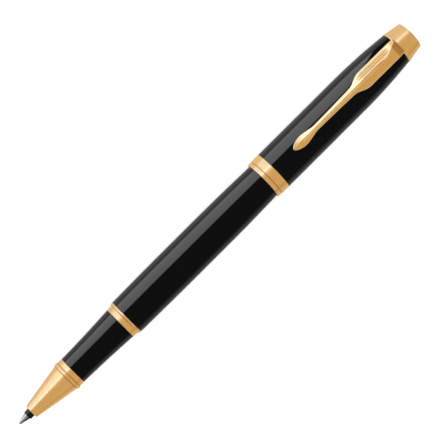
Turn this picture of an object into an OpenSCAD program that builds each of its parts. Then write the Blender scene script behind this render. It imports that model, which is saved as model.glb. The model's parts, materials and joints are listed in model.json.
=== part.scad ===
// Rollerball pen with its cap posted on the tail of the barrel.
// The pen lies along X, with its writing tip towards -X and its clip on top.
// Stations along the pen are distances from the writing tip, in millimetres.

/* [Writing tip] */
// Diameter of the writing ball
ball_d = 0.7; // [0.5:0.05:1]
// Length of the metal tip cone outside its holder
tip_cone_len = 3.15; // [2.6:0.05:3.6]
// Diameter of the metal tip cone at its foot
tip_cone_d = 2.1; // [1.9:0.05:2.4]
// Diameter of the metal tip's shank inside its holder
tip_shank_d = 1.6; // [1.4:0.05:1.8]
// Wall of the holder's collar round the shank
collar_wall = 0.56; // [0.45:0.01:0.7]
// Length of the collar that shows in front of the nose cone
collar_show = 1.5; // [1.4:0.05:2.4]

/* [Refill] */
// Outer diameter of the refill tube
refill_d = 5.9; // [4.8:0.1:7.1]
// Wall of the refill tube
refill_wall = 0.3; // [0.2:0.05:0.5]
// Length of the refill, from the writing tip to its end plug
refill_len = 112; // [94:1:135]
// Distance of the seat flange from the writing tip
flange_at = 13.4; // [13.2:0.1:14.5]
// Thickness of the seat flange
flange_thick = 1.5; // [1:0.1:2]
// Diameter of the wick that feeds the tip
wick_d = 1.1; // [0.8:0.1:1.3]
// Room for the spring behind the refill
spring_room = 8.76; // [7:0.01:11]
// Wire diameter of the refill spring
spring_wire = 0.5; // [0.4:0.05:0.6]
// Outer diameter of the refill spring
spring_d = 4.9; // [4:0.1:5.6]
// Coils of the refill spring
spring_coils = 6; // [4:1:8]

/* [Nose cone] */
// Length of the nose cone from its front edge to its bead
nose_len = 14.1; // [13:0.05:15]
// Wall at the nose cone's front edge
nose_front_wall = 0.67; // [0.4:0.01:0.9]
// How far the cone's side bulges outwards
nose_bulge = 0.02; // [0:0.01:0.2]
// How much smaller in radius the cone is in front of its bead than its collar
bead_step = 0.05; // [0.05:0.005:0.3]
// Rise of the bead over the collar
bead_rise = 0.21; // [0.1:0.01:0.3]
// How much larger in radius the collar is than the grip's front
collar_step = 0.06; // [0:0.01:0.15]
// Length of the collar behind the bead
nose_collar_len = 2.15; // [2:0.05:3]

/* [Grip section] */
// Length of the black grip
grip_len = 18.55; // [15:0.05:23]
// Wall at the front of the grip
grip_front_wall = 0.53; // [0.45:0.01:0.7]
// Wall at the rear of the grip
grip_rear_wall = 1.26; // [0.9:0.01:1.5]
// Length of the neck of the section ring
ring_neck_len = 1.9; // [1.5:0.1:2.5]
// Thickness of the ring's flange
ring_flange_thick = 0.55; // [0.4:0.05:1]
// Wall of the coupling's tube inside the grip
liner_wall = 0.8; // [0.6:0.02:1]
// Height of the coupling's shoulder, from its tube to its barrel thread
shoulder_h = 0.7; // [0.5:0.02:0.9]
// Length of the barrel thread
thread_len = 6.4; // [5:0.1:8]
// Turns that the section takes to unscrew, at 1 mm a turn
thread_turns = 6; // [5:1:7]

/* [Barrel] */
// Wall of the threaded bush in the barrel's mouth
bush_wall = 0.47; // [0.4:0.01:0.6]
// How much the barrel swells in radius from its mouth to its middle
barrel_swell = 0.17; // [0.05:0.01:0.3]
// How much the barrel's tail drops in radius
tail_drop = 1.79; // [1.4:0.01:2.1]
// Length of the true cylinder in the middle of the barrel
cylinder_len = 12; // [8:1:20]
// Length from the mouth to the true cylinder
mouth_taper_len = 21.8; // [16:0.2:26]
// Wall of the barrel tube
barrel_wall = 0.58; // [0.4:0.02:0.7]
// Length of the threaded bush
bush_len = 8.4; // [7:0.1:10]
// Thickness of the end plug
plug_thick = 1.6; // [1.2:0.1:2.4]

/* [Cap] */
// Length of the cap from its lip to its end, without the crown
cap_len = 53; // [50:0.5:64]
// How far the cap's lip covers the barrel's tail
post_depth = 26.5; // [22:0.1:28]
// Wall of the inner cap
inner_wall = 0.22; // [0.2:0.02:0.4]
// Wall of the cap tube
cap_wall = 0.49; // [0.4:0.01:0.6]
// How much the cap's closed end drops in radius
cap_end_drop = 1.03; // [0.8:0.01:1.3]
// Length over which the cap's closed end tapers
cap_taper_len = 19; // [15:1:24]
// Thickness of the cap's end wall
cap_end_wall = 1.4; // [1:0.1:2]
// Length of the band at the cap's lip
band_len = 4.15; // [3.5:0.05:6]
// Thickness of the band over the cap tube
band_thick = 0.26; // [0.2:0.02:0.3]
// Distance of the band's groove from the lip
groove_at = 1.35; // [1.1:0.05:2]

/* [Clip and crown] */
// Length of the crown
crown_len = 6.2; // [5:0.1:7.5]
// How much the crown narrows in radius
crown_narrow = 0.93; // [0.6:0.01:1.2]
// Width of the cap's rim round the clip ring
ring_rim = 1.12; // [0.9:0.01:1.4]
// Rise of the crown's domed top
crown_dome = 0.7; // [0.4:0.1:1]
// Length of the clip from its hinge line to its point
clip_len = 41; // [34:0.2:44]
// Greatest width of the clip
clip_w = 5.3; // [4.4:0.1:6.4]
// Width of the clip's slim shaft
clip_shaft_w = 1.7; // [1.6:0.1:2.4]
// Width of the rounded pad at the clip's free end
clip_pad_w = 3.2; // [2.8:0.1:4]
// Gap between the clip's shaft and the cap
clip_gap = 0.8; // [0.5:0.1:1.2]
// Thickness of the clip ring
clip_ring_thick = 0.6; // [0.4:0.05:0.8]
// Diameter of the screw that holds the crown
screw_d = 2.9; // [2.4:0.1:3.5]

/* [Clearances] */
// Gap between pieces that are pressed or cemented together
press_gap = 0.01; // [0.005:0.005:0.02]
// Radial clearance of a running fit
run_gap = 0.04; // [0.02:0.01:0.08]
// End gap between pieces that seat on each other
seat_gap = 0.03; // [0.02:0.01:0.06]
// Radial clearance round the refill
refill_gap = 0.15; // [0.1:0.05:0.3]
// Radial clearance of the ball in its socket
ball_gap = 0.02; // [0.01:0.005:0.03]

/* [Hidden] */
$fn = 96;
eps = 0.01;

// Stations from the writing tip
nose_at = tip_cone_len + seat_gap + collar_show;
bead_at = nose_at + nose_len;
nose_end = bead_at + nose_collar_len;
grip_end = nose_end + grip_len;
ring_flange_at = grip_end + ring_neck_len;
ring_end = ring_flange_at + ring_flange_thick;
barrel_at = ring_end + seat_gap;
plug_at = refill_len + spring_room;
barrel_end = plug_at + plug_thick;
cylinder_at = barrel_at + mouth_taper_len;
tail_at = cylinder_at + cylinder_len;
tail_len = barrel_end - tail_at;
cap_at = barrel_end - post_depth;
cap_end = cap_at + cap_len;
crown_base = cap_end + press_gap;
crown_end = crown_base + crown_len;

// Radius of a profile that bends evenly from one radius to another over the share t of its length
function eased(r_from, r_to, t) = r_from + (r_to - r_from) * t * t;

// Radii, from the refill outwards
refill_r = refill_d / 2;
refill_bore_r = refill_r - refill_wall;
refill_way_r = refill_r + refill_gap;
liner_r = refill_way_r + liner_wall;
sleeve_bore_r = liner_r + press_gap;
grip_front_r = sleeve_bore_r + grip_front_wall;
grip_rear_r = sleeve_bore_r + grip_rear_wall;
nose_collar_r = grip_front_r + collar_step;
collar_r = tip_shank_d / 2 + press_gap + collar_wall;
nose_bore_r = collar_r + 2 * run_gap;
nose_front_r = nose_bore_r + nose_front_wall;
thread_r = liner_r + shoulder_h;
bush_r = thread_r + run_gap + bush_wall;
barrel_bore_r = bush_r + press_gap;
mouth_r = barrel_bore_r + barrel_wall;
barrel_r = mouth_r + barrel_swell;
tail_r = barrel_r - tail_drop;

// Barrel
function tail_radius(x) = eased(barrel_r, tail_r, (x - tail_at) / tail_len);
profile_step = 1 / 12;
tail_edge = 0.8;

// Refill
flange_end = flange_at + flange_thick;
spigot_len = 5;
plug_flange = 1;
plug_spigot = 3;
wick_r = wick_d / 2;
wick_at = 1.7;
wick_in_reservoir = 9;
reservoir_gap = 1;
reservoir_clear = 0.1;
reservoir_at = flange_end + spigot_len + reservoir_gap;
reservoir_end = refill_len - plug_flange - plug_spigot - reservoir_gap;
wick_end = reservoir_at + wick_in_reservoir;
collar_len = 4.6;
shank_len = 3.6;
shank_end = tip_cone_len + shank_len;
shoulder_len = 0.8;
shoulder_clear = 0.1;

// Spring, between the refill's end plug and the barrel's end plug
spring_at = refill_len + seat_gap;
spring_boss_len = 1.2;
spring_end = plug_at - seat_gap;
spring_r = (spring_d - spring_wire) / 2;
boss_clear = 0.2;
boss_r = spring_r - spring_wire / 2 - boss_clear;

// Coupling and bush
bush_inset = 0.3;
thread_end = ring_end + thread_len;
nose_thread_len = 3.2;
nose_thread_at = nose_end - nose_thread_len;

// Cap, from the barrel outwards
screw_r = screw_d / 2;
lip_clear = 0.16;
mouth_from_lip = 2.1;
cap_mouth = cap_at + mouth_from_lip;
inner_bore_r = tail_radius(cap_mouth) + run_gap / 2;
inner_r = inner_bore_r + inner_wall;
cap_bore_r = inner_r + press_gap;
cap_r = cap_bore_r + cap_wall;
lip_bore_r = tail_radius(cap_at) + lip_clear;
band_seat_r = cap_r - band_thick;
band_lip_len = 0.6;
band_lip_drop = 0.1;
band_end = cap_at + band_len;
cap_end_r = cap_r - cap_end_drop;
taper_at = cap_end - cap_taper_len;
function cap_radius(x) = x < taper_at ? cap_r : eased(cap_r, cap_end_r, (x - taper_at) / cap_taper_len);
inner_past_tail = 2;
inner_straight_end = barrel_end + inner_past_tail;
inner_from_end = 9.2;
inner_end = cap_end - inner_from_end;
inner_end_wall = 1;
inner_corner = 0.3;
inner_tip_clear = 0.9;
inner_tip_r = cap_end_r - cap_wall - inner_wall - inner_tip_clear;
boss_end = cap_end - cap_end_wall - press_gap;
boss_wall = 1.15;
cap_boss_r = screw_r + boss_wall;

// Screw, clip ring and crown
screw_head_rim = 0.95;
screw_head_r = screw_r + screw_head_rim;
screw_head_len = 0.9;
screw_head_at = inner_end - screw_head_len;
screw_in_crown = 3.6;
screw_end = crown_base + screw_in_crown;
ring_clear = 0.15;
ring_in_r = screw_r + ring_clear;
ring_at = cap_end - clip_ring_thick;
recess_at = ring_at - press_gap;
recess_r = cap_end_r - ring_rim;
ring_out_r = recess_r - ring_clear;
crown_proud = 0.16;
crown_r = cap_end_r + crown_proud;
crown_top_r = crown_r - crown_narrow;
crown_edge_len = crown_len - crown_dome;

// Clip: it turns on a round bead at the top of the ring's tongue
bead_r = 0.25;
knuckle_r = 0.6;
knuckle_clear = 0.13;
hinge_x = cap_end - clip_ring_thick / 2;
hinge_z = cap_end_r + knuckle_r + knuckle_clear;
clip_point = hinge_x - clip_len;
land_gap = 0.05;
clip_land = cap_r + land_gap;
root_drop = 0.3;
point_lift = 0.25;
root_inset = 0.2;
clip_root_w = clip_w - root_inset;
tongue_inset = 1.1;
tongue_w = clip_root_w - tongue_inset;
tongue_foot = 0.6;
// Stations of the clip: share of its length from the hinge, half width, share of its thickness
clip_stations = [
    [0, clip_root_w / 2, 1],
    [0.04, clip_w / 2, 1],
    [0.33, clip_w / 2, 1],
    [0.36, clip_w / 2 - 0.25, 1],
    [0.42, clip_shaft_w / 2 + 0.45, 1],
    [0.45, clip_shaft_w / 2 + 0.3, 1],
    [0.62, clip_shaft_w / 2 + 0.12, 1],
    [0.8, clip_shaft_w / 2, 1],
    [0.85, clip_pad_w / 2 - 0.35, 1],
    [0.9, clip_pad_w / 2, 1],
    [0.94, clip_pad_w / 2 - 0.15, 0.9],
    [0.975, clip_pad_w / 2 - 0.6, 0.75],
    [1, clip_pad_w / 2 - 1.2, 0.55]
];
clip_thick = 0.6;
clip_slope = 0.25;
rise_to = 0.25;
dip_from = 0.7;
dip_to = 0.9;
function smooth(t) = t * t * (3 - 2 * t);
function mix(a, b, t) = a + (b - a) * smooth(min(1, max(0, t)));
function clip_under(t) =
    t < dip_from ? mix(hinge_z - root_drop, cap_r + clip_gap, t / rise_to) :
    t < dip_to ? mix(cap_r + clip_gap, clip_land, (t - dip_from) / (dip_to - dip_from)) :
    mix(clip_land, clip_land + point_lift, (t - dip_to) / (1 - dip_to));

// Places a piece that was modelled along Z from the writing tip
mid_x = crown_end / 2;
module place() {
    translate([-mid_x, 0, cap_r]) rotate([0, 90, 0]) children();
}

// A turned piece from [station, radius] points
module turned(points) {
    place() rotate_extrude() polygon([for (p = points) [p[1], p[0]]]);
}

// A plain ring or rod between two stations
module ring(from, to, outer, inner = 0) {
    turned([[from, inner], [from, outer], [to, outer], [to, inner]]);
}

// Writing ball
module ball() {
    color("lightsteelblue")
    place() translate([0, 0, ball_d / 2]) sphere(d = ball_d);
}

// Metal tip: cone, shank, ink way and ball socket
module writing_tip() {
    lip_share = 0.29;
    lip_wall = 0.03;
    foot_len = 0.25;
    ink_r = 0.15;
    lip_at = lip_share * ball_d;
    lip_r = ball_d / 2 + lip_wall;
    color("silver")
    difference() {
        turned([[lip_at, 0], [lip_at, lip_r], [tip_cone_len - foot_len, tip_cone_d / 2],
                [tip_cone_len, tip_cone_d / 2], [tip_cone_len, tip_shank_d / 2],
                [shank_end, tip_shank_d / 2], [shank_end, 0]]);
        place() translate([0, 0, ball_d / 2]) sphere(d = ball_d + 2 * ball_gap);
        ring(ball_d / 2, shank_end, ink_r);
        ring(wick_at - seat_gap, shank_end + eps, wick_r + press_gap);
    }
}

// Holder of the tip: collar, cone, seat flange and spigot in the refill tube
module tip_holder() {
    collar_at = tip_cone_len + seat_gap;
    collar_end = collar_at + collar_len;
    shoulder_r = refill_bore_r - shoulder_clear;
    color("dimgray")
    difference() {
        turned([[collar_at, 0], [collar_at, collar_r], [collar_end, collar_r],
                [flange_at - shoulder_len, shoulder_r], [flange_at, shoulder_r], [flange_at, refill_r],
                [flange_end, refill_r], [flange_end, refill_bore_r - press_gap],
                [flange_end + spigot_len, refill_bore_r - press_gap], [flange_end + spigot_len, 0]]);
        ring(collar_at - eps, shank_end + seat_gap, tip_shank_d / 2 + press_gap);
        ring(collar_at, flange_end + spigot_len + eps, wick_r + press_gap);
    }
}

// Metal tube of the refill
module refill_tube() {
    color("gainsboro")
    ring(flange_end + press_gap, refill_len - plug_flange - press_gap, refill_r, refill_bore_r);
}

// Fibre rod that holds the ink
module ink_reservoir() {
    color("midnightblue")
    difference() {
        ring(reservoir_at, reservoir_end, refill_bore_r - reservoir_clear);
        ring(reservoir_at - eps, wick_end + seat_gap, wick_r + press_gap);
    }
}

// Wick between the reservoir and the ball
module feed_wick() {
    color("navy") ring(wick_at, wick_end, wick_r);
}

// Plug at the refill's rear end, with a boss inside the spring
module refill_end_plug() {
    plug_front = refill_len - plug_flange;
    color("black")
    turned([[plug_front - plug_spigot, 0], [plug_front - plug_spigot, refill_bore_r - press_gap],
            [plug_front, refill_bore_r - press_gap], [plug_front, refill_r], [refill_len, refill_r],
            [refill_len, boss_r], [refill_len + spring_boss_len, boss_r],
            [refill_len + spring_boss_len, 0]]);
}

// Coil spring behind the refill
module refill_spring() {
    sides = 6;
    steps = 16;
    count = spring_coils * steps;
    wire_r = spring_wire / 2;
    rise = spring_end - spring_at - 2 * wire_r;
    // The end coils lie close, so the rise is slow at both ends
    function climb(t) = t * t * (3 - 2 * t) * 0.5 + t * 0.5;
    points = [
        for (i = [0:count], j = [0:sides - 1])
            let (
                around = 360 * i / steps,
                turn = 360 * j / sides,
                reach = spring_r + wire_r * cos(turn)
            )
            [reach * cos(around), reach * sin(around),
             spring_at + wire_r + rise * climb(i / count) + wire_r * sin(turn)]
    ];
    sides_faces = [
        for (i = [0:count - 1], j = [0:sides - 1])
            let (k = (j + 1) % sides, a = i * sides, b = (i + 1) * sides)
            each [[a + j, b + k, b + j], [a + j, a + k, b + k]]
    ];
    ends = [
        [for (j = [0:sides - 1]) j],
        [for (j = [0:sides - 1]) count * sides + sides - 1 - j]
    ];
    color("silver") place() polyhedron(points, concat(sides_faces, ends), convexity = 10);
}

// Gold nose cone with its bead and collar; the refill's flange seats inside it
module nose_cone() {
    rear_r = nose_collar_r - bead_step;
    steps = 6;
    bead_w = 1;
    seat_clear = 0.15;
    seat_r = refill_bore_r - shoulder_clear + seat_clear;
    cone_bore_len = 1.8;
    cone_bore_at = nose_at + cone_bore_len;
    seat_bore_at = flange_at - shoulder_len - seat_clear;
    side = [for (i = [0:steps])
        let (t = i / steps)
        [nose_at + (nose_len - bead_w / 2) * t,
         nose_front_r + (rear_r - nose_front_r) * t + nose_bulge * 4 * t * (1 - t)]];
    bead = [for (a = [0:30:180])
        [bead_at - cos(a) * bead_w / 2,
         nose_collar_r + bead_rise * sin(a)]];
    color("goldenrod")
    difference() {
        turned(concat([[nose_at, 0]], side, bead,
                      [[nose_end, nose_collar_r], [nose_end, 0]]));
        ring(nose_at - eps, cone_bore_at, nose_bore_r);
        turned([[cone_bore_at - eps, 0], [cone_bore_at - eps, nose_bore_r],
                [seat_bore_at, seat_r], [flange_at - seat_gap + eps, seat_r],
                [flange_at - seat_gap + eps, 0]]);
        ring(flange_at - seat_gap, nose_end + eps, refill_way_r);
        ring(nose_thread_at, nose_end + eps, sleeve_bore_r);
    }
}

// Black grip, flaring gently towards the barrel
module grip_section() {
    steps = 8;
    flare = 0.55;
    outside = [for (i = [0:steps])
        let (t = i / steps)
        [nose_end + press_gap + (grip_len - 2 * press_gap) * t,
         grip_front_r + (grip_rear_r - grip_front_r) * ((1 - flare) * t + flare * t * t)]];
    color("black")
    difference() {
        turned(concat([[nose_end + press_gap, 0]], outside, [[grip_end - press_gap, 0]]));
        ring(nose_end - eps, grip_end + eps, sleeve_bore_r);
    }
}

// Gold ring between grip and barrel
module section_ring() {
    neck_rise = 0.05;
    neck_flare = 0.06;
    flange_slope = 0.3;
    flange_edge = 0.1;
    neck_r = grip_rear_r + neck_rise;
    color("goldenrod")
    difference() {
        turned([[grip_end, 0], [grip_end, neck_r],
                [ring_flange_at - flange_slope, neck_r + neck_flare],
                [ring_flange_at, mouth_r - flange_edge],
                [ring_flange_at + flange_edge, mouth_r], [ring_end, mouth_r], [ring_end, 0]]);
        ring(grip_end - eps, ring_end + eps, sleeve_bore_r);
    }
}

// Threaded liner of the section: nose thread, long tube, shoulder and barrel thread
module section_coupling() {
    lead_in = 0.3;
    color("gray")
    difference() {
        turned([[nose_thread_at + seat_gap, 0], [nose_thread_at + seat_gap, liner_r],
                [ring_end + press_gap, liner_r], [ring_end + press_gap, thread_r],
                [thread_end - lead_in, thread_r], [thread_end, thread_r - lead_in], [thread_end, 0]]);
        ring(nose_thread_at, thread_end + eps, refill_way_r);
    }
}

// Threaded bush in the barrel's mouth
module barrel_bush() {
    color("peru")
    ring(barrel_at + bush_inset, barrel_at + bush_len, bush_r, thread_r + run_gap);
}

// Black barrel tube with its long tapered tail
module barrel_shell() {
    swell = [for (t = [0:0.25:1])
        [barrel_at + mouth_taper_len * t, barrel_r - (barrel_r - mouth_r) * (1 - t) * (1 - t)]];
    tail = [for (t = [0:profile_step:1 - profile_step / 2])
        [tail_at + tail_len * t, eased(barrel_r, tail_r, t)]];
    inside_tail = [for (t = [0:profile_step:1.01])
        let (x = tail_at + (tail_len + eps) * t)
        [x, min(barrel_bore_r, tail_radius(x) - barrel_wall)]];
    color("black")
    difference() {
        turned(concat([[barrel_at, 0]], swell, tail,
                      [[barrel_end - tail_edge, tail_radius(barrel_end - tail_edge)],
                       [barrel_end, tail_r - tail_edge / 2], [barrel_end, 0]]));
        ring(barrel_at - eps, tail_at + eps, barrel_bore_r);
        turned(concat([[tail_at, 0]], inside_tail, [[barrel_end + eps, 0]]));
    }
}

// Plug in the barrel's tail, with a boss inside the spring
module barrel_end_plug() {
    front_r = tail_radius(plug_at) - barrel_wall - run_gap;
    rear_r = tail_r - barrel_wall - run_gap;
    color("dimgray")
    turned([[plug_at - spring_boss_len, 0], [plug_at - spring_boss_len, boss_r],
            [plug_at, boss_r], [plug_at, front_r], [barrel_end, rear_r], [barrel_end, 0]]);
}

// Gold band round the lip of the cap
module cap_band() {
    groove_w = 0.25;
    groove_depth = 0.1;
    lip_edge = 0.1;
    lip_rise = 0.07;
    groove_x = cap_at + groove_at;
    lip_r = cap_r - band_lip_drop;
    color("goldenrod")
    difference() {
        turned([[cap_at, 0], [cap_at, lip_r - lip_edge], [cap_at + lip_edge, lip_r],
                [groove_x - groove_w, lip_r + lip_rise],
                [groove_x - groove_w / 2, cap_r - groove_depth],
                [groove_x + groove_w / 2, cap_r - groove_depth], [groove_x + groove_w, cap_r],
                [band_end, cap_r], [band_end, 0]]);
        ring(cap_at - eps, cap_at + band_lip_len + eps, lip_bore_r);
        ring(cap_at + band_lip_len, band_end + eps, band_seat_r + press_gap);
    }
}

// Black cap tube with its tapered, closed end
module cap_shell() {
    steps = 10;
    end_edge = 0.12;
    notch_play = 0.1;
    shell_at = cap_at + band_lip_len + press_gap;
    taper = [for (i = [0:steps])
        let (x = taper_at + cap_taper_len * i / steps)
        [x, cap_radius(x) - (i == steps ? end_edge : 0)]];
    end_face = cap_end - cap_end_wall;
    hollow = [for (i = [0:steps])
        let (x = taper_at + (end_face - taper_at) * i / steps)
        [x, cap_radius(x) - cap_wall]];
    color("black")
    difference() {
        turned(concat([[shell_at, 0], [shell_at, band_seat_r], [band_end + press_gap, band_seat_r],
                       [band_end + press_gap, cap_r]], taper, [[cap_end, 0]]));
        ring(shell_at - eps, taper_at + eps, cap_bore_r);
        turned(concat([[taper_at, 0]], hollow, [[end_face, 0]]));
        ring(end_face - eps, cap_end + eps, screw_r + press_gap);
        ring(recess_at, cap_end + eps, recess_r);
        tongue(recess_at, cap_end + eps, tongue_w + 2 * notch_play);
    }
}

// Plastic inner cap: its mouth grips the barrel and its boss takes the screw
module inner_cap() {
    color("dimgray")
    difference() {
        turned([[cap_mouth, 0], [cap_mouth, inner_r], [inner_straight_end, inner_r],
                [inner_end, inner_tip_r + inner_wall + inner_corner],
                [inner_end + inner_end_wall, inner_tip_r + inner_wall],
                [inner_end + inner_end_wall, cap_boss_r], [boss_end, cap_boss_r], [boss_end, 0]]);
        ring(cap_mouth - eps, inner_straight_end, inner_bore_r);
        turned([[inner_straight_end - eps, 0], [inner_straight_end - eps, inner_bore_r],
                [inner_end, inner_tip_r], [inner_end, 0]]);
        ring(inner_end - eps, boss_end + eps, screw_r + press_gap);
    }
}

// Screw through the inner cap, the cap's end and the clip ring into the crown
module cap_screw() {
    slot_w = 0.6;
    slot_depth = 0.45;
    color("gray")
    difference() {
        turned([[screw_head_at, 0], [screw_head_at, screw_head_r], [inner_end - press_gap, screw_head_r],
                [inner_end - press_gap, screw_r], [screw_end, screw_r], [screw_end, 0]]);
        place() translate([0, 0, screw_head_at + slot_depth / 2 - eps])
            cube([3 * screw_head_r, slot_w, slot_depth], center = true);
    }
}

// Upright block from the clip ring to the hinge line, between two stations
module tongue(from, to, width) {
    place() translate([-hinge_z, -width / 2, from])
        cube([hinge_z - ring_in_r - tongue_foot, width, to - from]);
}

// Ring in the cap's end with the upturned tongue that carries the clip
module clip_ring() {
    color("goldenrod")
    union() {
        ring(ring_at, cap_end, ring_out_r, ring_in_r);
        tongue(ring_at, cap_end, tongue_w);
        place() translate([-hinge_z, tongue_w / 2, hinge_x])
            rotate([90, 0, 0]) cylinder(r = bead_r, h = tongue_w);
    }
}

// Pocket clip: knuckle, broad crested panel, slim shaft and rounded pad
module clip() {
    count = len(clip_stations);
    arm = [
        for (s = clip_stations)
            let (
                x = hinge_x - clip_len * s[0],
                low = clip_under(s[0]),
                top = low + clip_thick * s[2],
                crest = top + clip_slope * s[1] * s[2]
            )
            each [[x, -s[1], low], [x, s[1], low], [x, s[1], top], [x, 0, crest], [x, -s[1], top]]
    ];
    skin = [
        for (i = [0:count - 2], j = [0:4])
            let (k = (j + 1) % 5, a = i * 5, b = a + 5)
            each [[a + j, b + k, b + j], [a + j, a + k, b + k]]
    ];
    last = (count - 1) * 5;
    ends = [[4, 3, 2, 1, 0], [last, last + 1, last + 2, last + 3, last + 4]];
    slot_play = 0.12;
    socket_play = 0.05;
    slot_w = clip_ring_thick + 2 * slot_play;
    socket_w = tongue_w + 2 * socket_play;
    color("goldenrod")
    translate([-mid_x, 0, cap_r])
    difference() {
        union() {
            polyhedron(arm, concat(skin, ends), convexity = 6);
            translate([hinge_x, clip_root_w / 2, hinge_z])
                rotate([90, 0, 0]) cylinder(r = knuckle_r, h = clip_root_w);
        }
        translate([hinge_x, socket_w / 2, hinge_z])
            rotate([90, 0, 0]) cylinder(r = bead_r + run_gap, h = socket_w);
        translate([hinge_x - slot_w / 2, -socket_w / 2, hinge_z - 2 * knuckle_r])
            cube([slot_w, socket_w, 2 * knuckle_r]);
    }
}

// Gold crown with a blind hole for the screw
module crown() {
    steps = 5;
    dome_at = crown_base + crown_edge_len;
    dome = [for (i = [0:steps])
        let (t = i / steps)
        [dome_at + crown_dome * (1 - (1 - t) * (1 - t)), crown_top_r * (1 - t)]];
    color("goldenrod")
    difference() {
        turned(concat([[crown_base, 0], [crown_base, crown_r]], dome));
        ring(crown_base - eps, screw_end + seat_gap, screw_r + press_gap);
    }
}

ball();
writing_tip();
tip_holder();
refill_tube();
ink_reservoir();
feed_wick();
refill_end_plug();
refill_spring();
nose_cone();
grip_section();
section_ring();
section_coupling();
barrel_bush();
barrel_shell();
barrel_end_plug();
cap_band();
cap_shell();
inner_cap();
cap_screw();
clip_ring();
clip();
crown();
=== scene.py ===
import json
import math

import bmesh
import bpy
from mathutils import Matrix, Vector


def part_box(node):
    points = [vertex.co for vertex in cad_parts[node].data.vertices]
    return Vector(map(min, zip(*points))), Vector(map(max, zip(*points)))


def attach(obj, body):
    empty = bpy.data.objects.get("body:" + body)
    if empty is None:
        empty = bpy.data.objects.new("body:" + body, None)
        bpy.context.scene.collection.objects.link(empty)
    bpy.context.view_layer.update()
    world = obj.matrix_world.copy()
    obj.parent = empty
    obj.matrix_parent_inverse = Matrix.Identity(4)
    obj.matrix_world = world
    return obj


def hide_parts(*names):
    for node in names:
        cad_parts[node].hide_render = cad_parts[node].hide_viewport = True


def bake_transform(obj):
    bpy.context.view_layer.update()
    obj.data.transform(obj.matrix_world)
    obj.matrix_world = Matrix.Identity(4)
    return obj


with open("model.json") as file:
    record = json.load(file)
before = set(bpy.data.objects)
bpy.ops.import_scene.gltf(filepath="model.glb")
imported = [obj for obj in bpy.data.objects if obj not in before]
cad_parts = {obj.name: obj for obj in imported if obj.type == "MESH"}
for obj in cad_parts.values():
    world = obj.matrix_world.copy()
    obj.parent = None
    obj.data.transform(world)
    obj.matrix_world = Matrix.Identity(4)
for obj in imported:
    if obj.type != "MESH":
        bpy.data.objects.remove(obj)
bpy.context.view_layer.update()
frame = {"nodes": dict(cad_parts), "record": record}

mm = 0.001
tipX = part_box("ball")[0].x  # the writing tip, station 0
shellLow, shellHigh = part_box("barrel_shell")
axisZ = (shellLow.z + shellHigh.z) / 2  # height of the pen's axis
print("frame loaded, pen axis", round(axisZ / mm, 3), "mm up")


def stations(node):  # where a node starts and ends, mm from the tip
    low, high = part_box(node)
    return (low.x - tipX) / mm, (high.x - tipX) / mm


def radiusOf(node):  # a turned node's largest radius in mm
    low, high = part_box(node)
    return (high.y - low.y) / 2 / mm


class Looks(dict):  # a piece's changeable values, read as look.name
    __getattr__ = dict.__getitem__


def newObject(name, data):
    made = bpy.data.objects.new(name, data)
    bpy.context.collection.objects.link(made)
    return made


# nodes


def feed(tree, socket, value):  # a value is a number, a colour, or another node's output
    if isinstance(value, bpy.types.NodeSocket):
        tree.links.new(value, socket)
    elif socket.type == "RGBA":
        socket.default_value = (*value[:3], 1.0)
    else:
        socket.default_value = value


def feedAll(tree, node, inputs):
    for key, value in inputs.items():
        feed(tree, node.inputs[key], value)


def addNode(tree, kind, inputs=None, **settings):
    made = tree.nodes.new(kind)
    for key, value in settings.items():
        setattr(made, key, value)
    feedAll(tree, made, inputs or {})
    return made


def mathNode(tree, operation, first, second=0.0, clamp=False):
    return addNode(tree, "ShaderNodeMath", {0: first, 1: second}, operation=operation, use_clamp=clamp).outputs[0]


def times(tree, first, second, clamp=False):
    return mathNode(tree, "MULTIPLY", first, second, clamp)


def plus(tree, first, second, clamp=False):
    return mathNode(tree, "ADD", first, second, clamp)


def objectPlace(tree):
    return addNode(tree, "ShaderNodeTexCoord").outputs["Object"]


def noise(tree, where, scale, detail=2.0, roughness=0.5):
    inputs = {"Vector": where, "Scale": scale, "Detail": detail, "Roughness": roughness}
    return addNode(tree, "ShaderNodeTexNoise", inputs).outputs["Fac"]


def mapRange(tree, value, low, high, kind="SMOOTHSTEP", first=0.0, last=1.0):
    inputs = {"Value": value, "From Min": low, "From Max": high, "To Min": first, "To Max": last}
    return addNode(tree, "ShaderNodeMapRange", inputs, interpolation_type=kind).outputs["Result"]


def addNumbers(tree, inputs):
    for label, value in inputs.items():
        tree.interface.new_socket(label, in_out="INPUT", socket_type="NodeSocketFloat").default_value = value


# shader groups


surfaceLook = Looks(
    wobbleScale=260.0, patchScale=420.0, lineDetail=3.0, lineRoughness=0.6, smudgeDetail=4.0, smudgeRoughness=0.55,
    smudgeFrom=0.42, smudgeTo=0.68, hairTurn=(0.3, 0.5, 0.9), hairStretch=(1.0, 0.06, 0.5), hairFrom=0.66, hairTo=0.74,
)


def newGroup(name, inputs, outputs):
    tree = bpy.data.node_groups.new(name, "ShaderNodeTree")
    addNumbers(tree, inputs)
    for label in outputs:
        tree.interface.new_socket(label, in_out="OUTPUT", socket_type="NodeSocketFloat")
    return tree, tree.nodes.new("NodeGroupInput").outputs, tree.nodes.new("NodeGroupOutput")


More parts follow.
